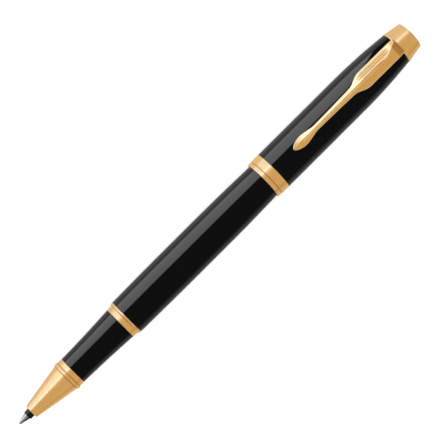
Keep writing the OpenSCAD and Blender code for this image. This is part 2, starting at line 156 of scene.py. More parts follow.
def makeTurnedLines():  # fine rings that a lathe and a polishing wheel leave
    tree, given, end = newGroup("turnedLines", {"Lines Per Metre": 9000.0, "Waviness": 0.15}, ["Height", "Mask"])
    look, place = surfaceLook, objectPlace(tree)
    split = addNode(tree, "ShaderNodeSeparateXYZ", {0: place})
    wobble = times(tree, noise(tree, place, look.wobbleScale), given["Waviness"])
    along = times(tree, split.outputs["X"], given["Lines Per Metre"])
    inputs = {"W": plus(tree, along, wobble), "Scale": 1.0, "Detail": look.lineDetail, "Roughness": look.lineRoughness}
    lines = addNode(tree, "ShaderNodeTexNoise", inputs, noise_dimensions="1D").outputs["Fac"]
    feedAll(tree, end, {"Height": lines, "Mask": times(tree, lines, noise(tree, place, look.patchScale))})
    return tree


def makeHandling():  # faint finger smudges and hairline scratches
    tree, given, end = newGroup("handling", {"Smudge Scale": 110.0, "Scratch Scale": 900.0}, ["Smudge", "Scratch"])
    look, place = surfaceLook, objectPlace(tree)
    smudge = noise(tree, place, given["Smudge Scale"], look.smudgeDetail, look.smudgeRoughness)
    inputs = {"Vector": place, "Rotation": look.hairTurn, "Scale": look.hairStretch}
    hair = noise(tree, addNode(tree, "ShaderNodeMapping", inputs).outputs["Vector"], given["Scratch Scale"])
    feedAll(tree, end, {"Smudge": mapRange(tree, smudge, look.smudgeFrom, look.smudgeTo),
                        "Scratch": mapRange(tree, hair, look.hairFrom, look.hairTo)})
    return tree


def makeEdgePolish():  # edges rub bright: reads the piece's own edge attribute
    tree, given, end = newGroup("edgePolish", {"Amount": 0.5, "Breakup": 600.0}, ["Mask"])
    edge = addNode(tree, "ShaderNodeAttribute", attribute_name="edge").outputs["Fac"]
    worn = times(tree, edge, noise(tree, objectPlace(tree), given["Breakup"], 3.0))
    feedAll(tree, end, {"Mask": times(tree, worn, given["Amount"], clamp=True)})
    return tree


turnedLines = makeTurnedLines()
handling = makeHandling()
edgePolish = makeEdgePolish()


def useGroup(tree, group, inputs):
    return addNode(tree, "ShaderNodeGroup", inputs, node_tree=group).outputs


def mixColours(tree, factor, first, second):  # first and second are colours or sockets
    inputs = {0: factor, 6: first, 7: second}
    return addNode(tree, "ShaderNodeMix", inputs, data_type="RGBA", clamp_factor=True).outputs[2]


def startMaterial(name):
    material = bpy.data.materials.new(name)
    material.use_nodes = True
    return material, material.node_tree


def finishMaterial(material, look, colour, roughness, height, more=None):
    tree = material.node_tree
    bump = addNode(tree, "ShaderNodeBump", {"Height": height, "Strength": look.bump, "Distance": look.bumpDepth})
    inputs = {"Base Color": colour, "Roughness": roughness, "Normal": bump.outputs["Normal"], **(more or {})}
    feedAll(tree, tree.nodes["Principled BSDF"], inputs)
    return material


# materials

lacquerLook = Looks(
    colour=(0.0014, 0.0014, 0.0015), wornColour=(0.012, 0.012, 0.013), worn=0.35, roughness=0.045,
    smudgeRoughness=0.05, scratchRoughness=0.06, ior=1.5, specular=0.42, coat=0.42, coatRoughness=0.02,
    peelScale=420.0, bump=0.02, bumpDepth=0.00004,
)


def makeLacquer():
    material, tree = startMaterial("blackLacquer")
    look = lacquerLook
    marks = useGroup(tree, handling, {"Smudge Scale": 90.0, "Scratch Scale": 700.0})
    worn = useGroup(tree, edgePolish, {"Amount": look.worn, "Breakup": 900.0})
    rough = plus(tree, times(tree, marks["Smudge"], look.smudgeRoughness),
                 times(tree, marks["Scratch"], look.scratchRoughness))
    return finishMaterial(
        material, look, mixColours(tree, worn["Mask"], look.colour, look.wornColour),
        plus(tree, rough, look.roughness, clamp=True), noise(tree, objectPlace(tree), look.peelScale),
        {"IOR": look.ior, "Specular IOR Level": look.specular, "Coat Weight": look.coat,
         "Coat Roughness": look.coatRoughness})


# the shade colour is painted shade, laid into grooves, flutes and the clip's root bend
goldLook = Looks(
    colour=(0.89, 0.6, 0.272), deepColour=(0.8, 0.485, 0.19), edgeColour=(0.97, 0.76, 0.45),
    shadeColour=(0.56, 0.30, 0.10), lineRoughness=0.1, smudgeRoughness=0.06, bump=0.1, bumpDepth=0.00001,
)


def makeGold(name, roughness, linesPerMetre):
    material, tree = startMaterial(name)
    look = goldLook
    lines = useGroup(tree, turnedLines, {"Lines Per Metre": linesPerMetre, "Waviness": 0.4})
    marks = useGroup(tree, handling, {"Smudge Scale": 140.0, "Scratch Scale": 1100.0})
    worn = useGroup(tree, edgePolish, {"Amount": 1.0, "Breakup": 700.0})
    paintedShade = addNode(tree, "ShaderNodeAttribute", attribute_name="paintedShade").outputs["Fac"]  # painted shade: darker in the grooves, the clip's flutes and its root
    plated = mixColours(tree, lines["Mask"], look.colour, look.deepColour)
    # the painted shade is mixed into the plating's base colour
    plated = mixColours(tree, paintedShade, plated, look.shadeColour)
    rough = plus(tree, times(tree, lines["Mask"], look.lineRoughness),
                 times(tree, marks["Smudge"], look.smudgeRoughness))
    return finishMaterial(material, look, mixColours(tree, worn["Mask"], plated, look.edgeColour),
                          plus(tree, rough, roughness, clamp=True), lines["Height"], {"Metallic": 1.0})


metalLook = Looks(worn=0.6, wornGain=1.25, lineRoughness=0.2, bump=0.15, bumpDepth=0.00001)


def makeMetal(name, colour, darkColour, roughness, linesPerMetre):  # plain turned or drawn metals
    material, tree = startMaterial(name)
    look = metalLook
    lines = useGroup(tree, turnedLines, {"Lines Per Metre": linesPerMetre, "Waviness": 0.3})
    worn = useGroup(tree, edgePolish, {"Amount": look.worn, "Breakup": 900.0})
    toned = mixColours(tree, lines["Mask"], colour, darkColour)
    bright = tuple(min(1.0, c * look.wornGain) for c in colour)
    rough = times(tree, lines["Mask"], look.lineRoughness)
    return finishMaterial(material, look, mixColours(tree, worn["Mask"], toned, bright),
                          plus(tree, rough, roughness, clamp=True), lines["Height"], {"Metallic": 1.0})


plasticLook = Looks(worn=0.5, smudgeRoughness=0.15, grainScale=9000.0, bump=0.25, bumpDepth=0.00002)


def makePlastic(name, colour, paleColour, roughness):
    material, tree = startMaterial(name)
    look = plasticLook
    marks = useGroup(tree, handling, {"Smudge Scale": 200.0, "Scratch Scale": 1300.0})
    worn = useGroup(tree, edgePolish, {"Amount": look.worn, "Breakup": 1500.0})
    toned = mixColours(tree, marks["Scratch"], colour, paleColour)
    rough = times(tree, marks["Smudge"], look.smudgeRoughness)
    return finishMaterial(
        material, look, mixColours(tree, worn["Mask"], toned, paleColour),
        plus(tree, rough, roughness, clamp=True), noise(tree, objectPlace(tree), look.grainScale))


fibreLook = Looks(
    colour=(0.004, 0.004, 0.02), paleColour=(0.03, 0.03, 0.09), stretch=(0.08, 1.0, 1.0), scale=5200.0, detail=4.0,
    roughness=0.5, roughnessSpread=0.3, bump=0.5, bumpDepth=0.00005,
)


def makeInkFibre():
    material, tree = startMaterial("inkFibre")
    look = fibreLook
    drawn = addNode(tree, "ShaderNodeMapping", {"Vector": objectPlace(tree), "Scale": look.stretch})
    strands = noise(tree, drawn.outputs["Vector"], look.scale, look.detail)
    rough = plus(tree, times(tree, strands, look.roughnessSpread), look.roughness)
    return finishMaterial(material, look, mixColours(tree, strands, look.colour, look.paleColour), rough, strands)


materials = {
    "lacquer": makeLacquer(),
    "gold": makeGold("goldPlate", 0.24, 9000.0),
    "clipGold": makeGold("clipGold", 0.14, 5000.0),
    "steel": makeMetal("tipSteel", (0.5, 0.5, 0.51), (0.26, 0.26, 0.27), 0.2, 14000.0),
    "hardBall": makeMetal("hardBall", (0.42, 0.43, 0.46), (0.3, 0.3, 0.33), 0.08, 4000.0),
    "tube": makeMetal("drawnTube", (0.66, 0.67, 0.68), (0.5, 0.5, 0.52), 0.22, 3000.0),
    "brass": makeMetal("turnedBrass", (0.72, 0.52, 0.24), (0.5, 0.34, 0.14), 0.25, 8000.0),
    "wire": makeMetal("springWire", (0.6, 0.6, 0.61), (0.42, 0.42, 0.44), 0.2, 2500.0),
    "holder": makePlastic("holderPlastic", (0.003, 0.003, 0.003), (0.02, 0.02, 0.02), 0.25),
    "liner": makePlastic("linerPlastic", (0.012, 0.012, 0.013), (0.05, 0.05, 0.052), 0.4),
    "fibre": makeInkFibre(),
}
print("materials made:", len(materials))

# turned pieces

turning = Looks(segments=144, filletSteps=5, support=0.3, filletReach=0.45, sharpAngle=38, tiny=1e-6)


def roundCorners(outline):  # outline points are (station, radius) or (station, radius, fillet)
    look = turning
    steps, share = look.filletSteps, look.filletReach
    rounded = []
    count = len(outline)
    for index, point in enumerate(outline):
        here = Vector(point[:2])
        fillet = point[2] if len(point) > 2 else 0.0
        before = Vector(outline[index - 1][:2]) - here
        after = Vector(outline[(index + 1) % count][:2]) - here
        if fillet <= 0 or min(before.length, after.length) < look.tiny:
            rounded.append((here.x, here.y, 0.0))
            continue
        opening = before.angle(after)
        reach = min(fillet / math.tan(opening / 2), share * before.length, share * after.length)
        radius = reach * math.tan(opening / 2)
        towards = (before.normalized() + after.normalized()).normalized()
        centre = here + towards * (radius / math.sin(opening / 2))
        first = here + before.normalized() * reach
        last = here + after.normalized() * reach
        support = look.support * reach
        rounded.append((*(first + before.normalized() * support), 0.0))
        sweep = (first - centre).angle_signed(last - centre)
        for step in range(steps + 1):
            spot = centre + Matrix.Rotation(-sweep * step / steps, 2) @ (first - centre)
            rounded.append((spot.x, spot.y, 1.0 if 0 < step < steps else 0.5))
        rounded.append((*(last + after.normalized() * support), 0.0))
    return rounded


def smoothFaces(mesh):
    mesh.polygons.foreach_set("use_smooth", [True] * len(mesh.polygons))
    mesh.set_sharp_from_angle(angle=math.radians(turning.sharpAngle))


def writeMarks(mesh, edges, paintedShades):  # edges rub bright, and painted shade makes the grooves look darker
    for name, values in (("edge", edges), ("paintedShade", paintedShades)):
        mesh.attributes.new(name, "FLOAT", "POINT").data.foreach_set("value", values)


def finishMesh(name, mesh, material):
    shape = bmesh.new()
    shape.from_mesh(mesh)
    bmesh.ops.remove_doubles(shape, verts=shape.verts, dist=1e-7)
    bmesh.ops.dissolve_degenerate(shape, edges=shape.edges, dist=1e-8)
    bmesh.ops.recalc_face_normals(shape, faces=shape.faces)
    shape.to_mesh(mesh)
    shape.free()
    smoothFaces(mesh)
    mesh.materials.clear()
    mesh.materials.append(material)
    return newObject(name, mesh)


def turnPiece(name, outline, material, segments=None, paintedShadeSpans=()):  # the last argument lists spans of stations where painted shade makes the grooves look darker
    segments = segments or turning.segments
    vertices, edges, paintedShades, rings = [], [], [], []
    for along, radius, edge in roundCorners(outline):
        paintedShade = float(any(low <= along <= high for low, high in paintedShadeSpans))
        count = 1 if radius < turning.tiny else segments
        rings.append(range(len(vertices), len(vertices) + count))
        for k in range(count):
            angle = 2 * math.pi * k / segments
            y, z = radius * mm * math.sin(angle), radius * mm * math.cos(angle)
            vertices.append((tipX + along * mm, y, axisZ + z))
        edges += [edge * (1 - paintedShade)] * count
        paintedShades += [paintedShade] * count
    faces = []
    for here, there in zip(rings, rings[1:] + rings[:1]):
        if len(here) == 1 and len(there) == 1:
            continue
        for k in range(segments):
            n = (k + 1) % segments
            if len(here) == 1:
                faces.append((here[0], there[n], there[k]))
            elif len(there) == 1:
                faces.append((here[k], here[n], there[0]))
            else:
                faces.append((here[k], here[n], there[n], there[k]))
    mesh = bpy.data.meshes.new(name)
    mesh.from_pydata(vertices, [], faces)
    writeMarks(mesh, edges, paintedShades)
    return finishMesh(name, mesh, material)


def curvePoints(start, end, radiusAt, steps):  # points of a smooth outline between two stations
    places = [start + (end - start) * i / steps for i in range(steps + 1)]
    return [(at, radiusAt(at)) for at in places]


def settle(piece, body, slot, *nodes):  # ride on a body and stand in for the CAD nodes, which it hides
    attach(piece, body)
    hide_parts(*nodes)
    return piece


# writing tip

tipLook = Looks(
    ballSteps=16, ballClearance=0.02, cupSteps=6, cupSweep=60, crimpWall=0.035, crimpFillet=0.02, neckAt=0.3,
    neckLength=0.12, neckRise=0.13, neckFillet=0.1, footLength=0.25, footFillet=0.05, shankRadius=0.8, shankFillet=0.1,
    seatGap=0.03, inkWay=0.15, segments=96,
)


def makeTip():
    look = tipLook
    radius, steps = radiusOf("ball"), look.ballSteps
    turns = [math.pi * i / steps for i in range(1, steps)]
    arc = [(0.0, 0.0)] + [(radius - radius * math.cos(turn), radius * math.sin(turn)) for turn in turns]
    arc.append((2 * radius, 0.0))
    settle(turnPiece("writingBall", arc, materials["hardBall"], look.segments // 2), "ball", "hard_ball", "ball")
    foot, shankEnd = stations("writing_tip")
    footRadius = radiusOf("writing_tip")
    coneEnd = stations("tip_holder")[0] - look.seatGap
    socket = radius + look.ballClearance
    lip = math.sqrt(socket ** 2 - (radius - foot) ** 2)
    cup = []
    for i in range(look.cupSteps + 1):
        angle = math.radians(90 + look.cupSweep * i / look.cupSteps)
        cup.append((radius - socket * math.cos(angle), socket * math.sin(angle)))
    outline = [(shankEnd, look.inkWay), (cup[-1][0], look.inkWay)] + cup[::-1] + [
        (foot, lip),
        (foot, lip + look.crimpWall, look.crimpFillet),
        (foot + look.neckAt, lip + look.neckRise, look.neckFillet),
        (foot + look.neckAt + look.neckLength, lip + look.neckRise, look.footFillet),
        (coneEnd - look.footLength, footRadius, look.footFillet),
        (coneEnd, footRadius, look.footFillet),
        (coneEnd, look.shankRadius),
        (shankEnd, look.shankRadius, look.shankFillet),
    ]
    tip = turnPiece("turnedTip", outline, materials["steel"], look.segments)
    settle(tip, "refill", "tip_steel", "writing_tip")


holderLook = Looks(
    collarRadius=1.37, collarFillet=0.12, collarLength=4.6, grooveAt=0.55, grooveDepth=0.06, grooveFillet=0.03,
    shoulderRadius=2.55, shoulderLength=0.8, flangeAt=13.4, flangeEnd=14.9, flangeFillet=0.1, spigotRadius=2.64,
    spigotFillet=0.15, coneFillet=0.2, seatRadius=0.81, wickRadius=0.56, segments=96, grooveSlope=0.06,
    grooveWidth=0.2, floorFillet=0.02,
)


def makeHolder():
    look = holderLook
    front, back = stations("tip_holder")
    flange = radiusOf("tip_holder")
    collar, floor = look.collarRadius, look.collarRadius - look.grooveDepth
    groove, slope = front + look.grooveAt, look.grooveSlope
    grooveEnd = groove + look.grooveWidth
    shankEnd = stations("writing_tip")[1] + tipLook.seatGap
    outline = [
        (back, look.wickRadius), (shankEnd, look.wickRadius),
        (shankEnd, look.seatRadius), (front, look.seatRadius),
        (front, collar, look.collarFillet),
        (groove, collar, look.grooveFillet), (groove + slope, floor, look.floorFillet),
        (grooveEnd - slope, floor, look.floorFillet), (grooveEnd, collar, look.grooveFillet),
        (front + look.collarLength, collar, look.coneFillet),
        (look.flangeAt - look.shoulderLength, look.shoulderRadius, look.coneFillet),
        (look.flangeAt, look.shoulderRadius),
        (look.flangeAt, flange, look.flangeFillet),
        (look.flangeEnd, flange, look.flangeFillet),
        (look.flangeEnd, look.spigotRadius), (back, look.spigotRadius, look.spigotFillet),
    ]
    holder = turnPiece("tipHolder", outline, materials["holder"], look.segments)
    settle(holder, "refill", "refill_plastic", "tip_holder")


makeTip()
makeHolder()
print("writing tip made")

# writing section

sectionFit = Looks(bore=3.91, tube=3.9, tubeBore=3.1)  # what the coupling tube and the pieces round it share
noseLook = Looks(
    frontRadius=2.12, frontBore=1.45, boreFillet=0.1, bulge=0.02, frontFillet=0.3, coneSteps=20, beadAt=18.78,
    beadWidth=1.0, beadRise=0.21, beadSteps=10, grooveDepth=0.05, grooveWidth=0.22, rearGroove=0.14, grooveSlope=0.04,
    grooveFillet=0.02, collarRadius=4.5, rearRadius=4.45, collarFillet=0.03, endFillet=0.08, socketAt=17.73,
    seatAt=13.37, seatRadius=2.7, throatAt=12.45, taperAt=6.48, sideRun=0.5, collarSlope=0.06, shadeOver=0.03,
)


def makeNose():
    look = noseLook
    front, back = stations("nose_cone")
    bead, half = look.beadAt, look.beadWidth / 2
    rear, collar = look.rearRadius, look.collarRadius
    before, after = bead - half, bead + half

    def cone(at):
        t = (at - front) / (bead - front)
        return look.frontRadius + (rear - look.frontRadius) * t + look.bulge * 4 * t * (1 - t)

    sideEnd = before - look.grooveWidth
    side = curvePoints(front + look.sideRun, sideEnd, cone, look.coneSteps)
    arch = []
    for i in range(1, look.beadSteps):
        angle = math.pi * i / look.beadSteps
        arch.append((bead - half * math.cos(angle), collar + look.beadRise * math.sin(angle)))
    depth, corner = look.grooveDepth, look.grooveFillet
    tube = sectionFit
    outline = [
        (front, look.frontBore, look.boreFillet), (front, look.frontRadius, look.frontFillet), *side,
        (sideEnd + look.grooveSlope, rear - depth, corner), (before, rear - depth, corner), *arch,
        (after, collar - depth, corner), (after + look.rearGroove, collar - depth, corner),
        (after + look.rearGroove + look.collarSlope, collar, look.collarFillet), (back, collar, look.endFillet),
        (back, tube.bore), (look.socketAt, tube.bore), (look.socketAt, tube.tubeBore),
        (look.seatAt, tube.tubeBore), (look.seatAt, look.seatRadius),
        (look.throatAt, look.seatRadius), (look.taperAt, look.frontBore),
    ]
    # painted shade in the grooves before and after the bead
    paintedShadeSpans = [(sideEnd + corner / 2, before + look.shadeOver),
            (after - look.shadeOver, after + look.rearGroove + corner)]
    settle(turnPiece("noseCone", outline, materials["gold"], paintedShadeSpans=paintedShadeSpans), "section", "gold_trim", "nose_cone")


gripLook = Looks(frontRadius=4.44, rearRadius=5.17, flare=0.55, edgeFillet=0.1, edgeRun=0.4, steps=36)


def makeGrip():
    look = gripLook
    front, back = stations("grip_section")
    slim, wide = look.frontRadius, look.rearRadius

    def flare(at):
        t = (at - front) / (back - front)
        return slim + (wide - slim) * ((1 - look.flare) * t + look.flare * t * t)

    side = curvePoints(front + look.edgeRun, back - look.edgeRun, flare, look.steps)
    outline = [(front, sectionFit.bore), (front, slim, look.edgeFillet), *side,
               (back, wide, look.edgeFillet), (back, sectionFit.bore)]
    settle(turnPiece("gripSection", outline, materials["lacquer"]), "section", "lacquer", "grip_section")


ringLook = Looks(
    neckRadius=5.22, neckFlare=0.06, neckLength=1.9, frontFillet=0.08, slope=0.3, slopeFillet=0.25, flangeDip=0.02,
    flangeFillet=0.14, backFillet=0.1, shadeEnd=0.1,
)


def makeSectionRing():
    look = ringLook
    front, back = stations("section_ring")
    flange = radiusOf("section_ring")
    flangeAt = front + look.neckLength
    slopeAt = flangeAt - look.slope
    outline = [
        (front, sectionFit.bore), (front, look.neckRadius, look.frontFillet),
        (slopeAt, look.neckRadius + look.neckFlare, look.slopeFillet),
        (flangeAt, flange - look.flangeDip, look.flangeFillet),
        (back, flange, look.backFillet), (back, sectionFit.bore),
    ]
    # painted shade on the slope up to the flange
    ring = turnPiece("sectionRing", outline, materials["gold"], paintedShadeSpans=[(slopeAt, flangeAt - look.shadeEnd)])
    settle(ring, "section", "gold_trim", "section_ring")


def sweepRound(tree, path, radius, sides):
    profile = addNode(tree, "GeometryNodeCurvePrimitiveCircle", {"Resolution": sides, "Radius": radius})
    inputs = {"Curve": path, "Profile Curve": profile.outputs[0], "Fill Caps": True}
    return addNode(tree, "GeometryNodeCurveToMesh", inputs).outputs[0]


def growPiece(name, values, build, material):  # Geometry Nodes make the piece once, and its plain mesh is kept
    tree = bpy.data.node_groups.new(name, "GeometryNodeTree")
    tree.interface.new_socket("Geometry", in_out="INPUT", socket_type="NodeSocketGeometry")
    addNumbers(tree, values)
    tree.interface.new_socket("Geometry", in_out="OUTPUT", socket_type="NodeSocketGeometry")
    shape = build(tree, tree.nodes.new("NodeGroupInput").outputs)
    real = addNode(tree, "GeometryNodeRealizeInstances", {0: shape}).outputs[0]
    dressed = addNode(tree, "GeometryNodeSetMaterial", {0: real, "Material": material}).outputs[0]
    addNode(tree, "NodeGroupOutput", {0: dressed})
    seed = newObject("seed", bpy.data.meshes.new("seed"))
    seed.modifiers.new("grow", "NODES").node_group = tree
    graph = bpy.context.evaluated_depsgraph_get()
    mesh = bpy.data.meshes.new_from_object(seed.evaluated_get(graph), depsgraph=graph)
    bpy.data.objects.remove(seed)
    mesh.name = name
    return finishMesh(name, mesh, material)


threadLook = Looks(
    pitch=1.0, height=0.34, sunk=0.01, start=0.5, end=0.4, sides=4, resolution=48, frontFillet=0.15, rootLength=0.4,
    endSlope=0.25, fillet=0.1, segments=120, gap=0.01, rootFillet=0.05, endFillet=0.08,
)


def threadRidge(tree, given):  # a helical ridge along +X, as tall and coarse as its inputs say
    helix = addNode(tree, "GeometryNodeCurveSpiral", {
        "Resolution": threadLook.resolution, "Reverse": True,
        "Rotations": mathNode(tree, "DIVIDE", given["Length"], given["Pitch"]),
        "Start Radius": given["Core Radius"], "End Radius": given["Core Radius"], "Height": given["Length"]})
    upright = addNode(tree, "GeometryNodeSetCurveNormal", {0: helix.outputs[0]}, mode="Z_UP")
    ridge = sweepRound(tree, upright.outputs[0], given["Height"], threadLook.sides)
    place = addNode(tree, "ShaderNodeCombineXYZ", {"X": given["Start"], "Z": given["Axis Height"]})
    inputs = {0: ridge, "Rotation": (0, math.pi / 2, 0), "Translation": place.outputs[0]}
    return addNode(tree, "GeometryNodeTransform", inputs).outputs[0]


def makeCoupling():
    look, fit = threadLook, sectionFit
    front, back = stations("section_coupling")
    shoulder = stations("section_ring")[1] + look.gap
    core = radiusOf("section_coupling") - look.height
    outline = [
        (front, fit.tubeBore), (front, fit.tube, look.frontFillet), (shoulder, fit.tube),
        (shoulder, core + look.rootFillet, look.rootFillet), (shoulder + look.rootLength, core, look.fillet),
        (back - look.endSlope, core, look.fillet), (back, core - look.endSlope, look.endFillet),
        (back, fit.tubeBore, look.fillet),
    ]
    body = turnPiece("couplingTube", outline, materials["brass"], look.segments)
    settle(body, "section", "turned_brass", "section_coupling")
    thread = growPiece("couplingThread", {
        "Pitch": look.pitch * mm, "Length": (back - shoulder - look.start - look.end) * mm,
        "Core Radius": core * mm, "Height": (look.height - look.sunk) * mm,
        "Start": tipX + (shoulder + look.start) * mm, "Axis Height": axisZ}, threadRidge, materials["brass"])
    settle(thread, "section", "turned_brass", "section_coupling")


makeNose()
makeGrip()
makeSectionRing()
makeCoupling()
print("writing section made")

# barrel

barrelLook = Looks(
    mouthRadius=5.7, mouthFillet=0.1, mouthRun=0.4, swellLength=21.8, swellSteps=24, cylinderLength=12.0, bore=5.12,
    boreFillet=0.05, wall=0.58, boreSteps=12, tailDrop=1.79, tailSteps=40, tailRun=1.0, tailFillet=0.6, tailStep=0.05,
)


def makeBarrel():
    look = barrelLook
    front, back = stations("barrel_shell")
    full, mouth, bore = radiusOf("barrel_shell"), look.mouthRadius, look.bore
    cylinderAt = front + look.swellLength
    tailAt = cylinderAt + look.cylinderLength

    def swell(at):
        t = (at - front) / look.swellLength
        return full - (full - mouth) * (1 - t) ** 2

    def tail(at):
        t = (at - tailAt) / (back - tailAt)
        return full - look.tailDrop * t * t

    inside = [(at, min(bore, r - look.wall)) for at, r in curvePoints(tailAt, back, tail, look.boreSteps)]
    outline = [
        (front, bore, look.boreFillet), (front, mouth, look.mouthFillet),
        *curvePoints(front + look.mouthRun, cylinderAt, swell, look.swellSteps),
        *curvePoints(tailAt, back - look.tailRun, tail, look.tailSteps),
        (back, tail(back) - look.tailStep, look.tailFillet), *inside[::-1],
    ]
    settle(turnPiece("barrelTube", outline, materials["lacquer"]), "barrel", "lacquer", "barrel_shell")


plugLook = Looks(
    boss=1.95, seatFromBack=1.6, rearRadius=3.46, fillet=0.15, smallFillet=0.1, rim=0.6, dish=0.35, dishSlope=0.3,
    pip=0.5, pipHeight=0.2, pipShare=0.8, segments=96, pipFoot=0.05, pipFillet=0.06,
)


def makePlug():
    look = plugLook
    front, back = stations("barrel_end_plug")
    seat, dish = back - look.seatFromBack, back - look.dish
    fillet, small, rim = look.fillet, look.smallFillet, look.rearRadius - look.rim
    pipEnd = dish + look.pipHeight
    outline = [
        (front, 0.0), (front, look.boss, fillet), (seat, look.boss, small),
        (seat, radiusOf("barrel_end_plug"), small), (back, look.rearRadius, fillet), (back, rim, small),
        (dish, rim - look.dishSlope, fillet), (dish, look.pip, look.pipFoot),
        (pipEnd, look.pip * look.pipShare, look.pipFillet), (pipEnd, 0.0),
    ]
    plug = turnPiece("barrelEndPlug", outline, materials["liner"], look.segments)
    settle(plug, "barrel", "liner_plastic", "barrel_end_plug")


springLook = Looks(wire=0.25, coils=6, meanRadius=2.2, pointsPerCoil=40, sides=14)


def springCoil(tree, given):  # a compression spring along +X with close end coils
    wire, reach = given["Wire Radius"], given["Mean Radius"]
    line = addNode(tree, "GeometryNodeCurvePrimitiveLine", {"End": (1, 0, 0)})
    count = springLook.pointsPerCoil * springLook.coils + 1
    dense = addNode(tree, "GeometryNodeResampleCurve", {0: line.outputs[0], "Count": count})
    along = addNode(tree, "GeometryNodeSplineParameter").outputs["Factor"]
    angle = times(tree, times(tree, along, given["Coils"]), 2 * math.pi)
    eased = times(tree, times(tree, along, along), mathNode(tree, "SUBTRACT", 3.0, times(tree, along, 2.0)))
    climb = times(tree, plus(tree, eased, along), 0.5)
    room = mathNode(tree, "SUBTRACT", given["Length"], times(tree, wire, 2.0))
    spot = addNode(tree, "ShaderNodeCombineXYZ", {
        "X": plus(tree, plus(tree, times(tree, climb, room), wire), given["Start"]),
        "Y": times(tree, mathNode(tree, "SINE", angle), reach),
        "Z": plus(tree, times(tree, mathNode(tree, "COSINE", angle), reach), given["Axis Height"])})
    coil = addNode(tree, "GeometryNodeSetPosition", {"Geometry": dense.outputs[0], "Position": spot.outputs[0]})
    return sweepRound(tree, coil.outputs[0], wire, springLook.sides)


def makeSpring():
    look = springLook
    low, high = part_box("refill_spring")
    spring = growPiece("refillSpring", {
        "Length": high.x - low.x, "Coils": float(look.coils), "Mean Radius": look.meanRadius * mm,
        "Wire Radius": look.wire * mm, "Start": low.x, "Axis Height": axisZ}, springCoil, materials["wire"])
    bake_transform(spring)
    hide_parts("refill_spring")


makeBarrel()
makePlug()
makeSpring()
print("barrel made")

# cap

bandLook = Looks(
    lipRadius=6.1, lipFillet=0.16, lipBore=5.7, lipBoreFillet=0.1, lipLength=0.6, seat=5.95, grooveAt=1.35,
    grooveWidth=0.3, grooveDepth=0.12, grooveFillet=0.06, floorFillet=0.03, rearFillet=0.1, lipRise=0.05, brow=0.04,
    foot=0.05,
)


def makeBand():
    look = bandLook
    front, back = stations("cap_band")
    full, lip, lipEnd = radiusOf("cap_band"), look.lipRadius, front + look.lipLength
    groove, half, floor = front + look.grooveAt, look.grooveWidth / 2, full - look.grooveDepth
    outline = [
        (front, look.lipBore, look.lipBoreFillet), (front, lip, look.lipFillet),
        (groove - half - look.brow, lip + look.lipRise, look.grooveFillet),
        (groove - half + look.foot, floor, look.floorFillet), (groove + half - look.foot, floor, look.floorFillet),
        (groove + half + look.brow, full, look.grooveFillet),
        (back, full, look.rearFillet), (back, look.seat), (lipEnd, look.seat), (lipEnd, look.lipBore),
    ]
    # painted shade in the groove
    band = turnPiece("capBand", outline, materials["gold"], paintedShadeSpans=[(groove - half, groove + half)])
    settle(band, "cap", "gold_trim", "cap_band")


def cutPiece(piece, boxes, rods=()):  # boxes are (low, high) corners, rods (x, z, radius, half length)
    shape = bmesh.new()
    for low, high in boxes:
        size = [high[i] - low[i] for i in range(3)]
        middle = [(high[i] + low[i]) / 2 for i in range(3)]
        bmesh.ops.create_cube(shape, size=1, matrix=Matrix.Translation(middle) @ Matrix.Diagonal((*size, 1)))
    for x, z, radius, half in rods:
        turned = Matrix.Translation((x, 0, z)) @ Matrix.Rotation(math.pi / 2, 4, "X")
        bmesh.ops.create_cone(shape, cap_ends=True, segments=32, radius1=radius, radius2=radius, depth=2 * half,
                              matrix=turned)
    mesh = bpy.data.meshes.new("cutter")
    shape.to_mesh(mesh)
    shape.free()
    cutter = newObject("cutter", mesh)
    modifier = piece.modifiers.new("cut", "BOOLEAN")
    modifier.object = cutter
    modifier.solver = "EXACT"
    modifier.use_self = True
    graph = bpy.context.evaluated_depsgraph_get()
    cut = bpy.data.meshes.new_from_object(piece.evaluated_get(graph), preserve_all_data_layers=True, depsgraph=graph)
    piece.modifiers.clear()
    piece.data = cut
    bpy.data.objects.remove(cutter)
    smoothFaces(cut)


capLook = Looks(
    taperLength=19.0, taperSteps=32, endRadius=5.17, endFillet=0.25, endRun=0.5, edgeFillet=0.05, bore=5.71,
    boreSteps=16, wall=0.49, endWall=1.4, seat=5.94, screwHole=1.46, recess=0.61, recessRadius=4.05, tongueHalf=2.0,
    tongueGap=0.1, notchFrom=2.0, notchTo=8.0, bandGap=0.01, shoulderFillet=0.06, endStep=0.02,
)


def makeCapTube():
    look = capLook
    front, back = stations("cap_shell")
    full, endRadius, seat, hole = radiusOf("cap_shell"), look.endRadius, look.seat, look.screwHole
    bandEnd = stations("cap_band")[1] + look.bandGap
    taperAt = back - look.taperLength
    recess, wallAt = back - look.recess, back - look.endWall

    def taper(at):
        t = (at - taperAt) / look.taperLength
        return full + (endRadius - full) * t * t

    inside = [(at, r - look.wall) for at, r in curvePoints(taperAt, wallAt, taper, look.boreSteps)]
    outline = [
        (front, look.bore), (front, seat, look.edgeFillet), (bandEnd, seat), (bandEnd, full, look.shoulderFillet),
        *curvePoints(taperAt, back - look.endRun, taper, look.taperSteps),
        (back, endRadius - look.endStep, look.endFillet), (back, look.recessRadius),
        (recess, look.recessRadius), (recess, hole), (wallAt, hole), *inside[::-1],
    ]
    tube = turnPiece("capTube", outline, materials["lacquer"])
    notch = (look.tongueHalf + look.tongueGap) * mm  # the clip ring's tongue comes up through this notch
    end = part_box("cap_shell")[1].x
    low = (end - look.recess * mm, -notch, axisZ + look.notchFrom * mm)
    cutPiece(tube, [(low, (end + mm, notch, axisZ + look.notchTo * mm))])
    settle(tube, "cap", "lacquer", "cap_shell")


innerLook = Looks(
    mouthFillet=0.08, wall=0.22, pastTail=2.0, endFromCap=9.2, endWall=1.0, endRadius=4.08, endBore=3.56,
    cornerDrop=0.3, cornerFillet=0.2, bossRadius=2.6, bossFillet=0.1, screwHole=1.46, ribs=3, ribAt=14.0, ribPitch=1.6,
    ribHeight=0.008, ribLength=0.5, ribSlope=0.2, segments=120,
)


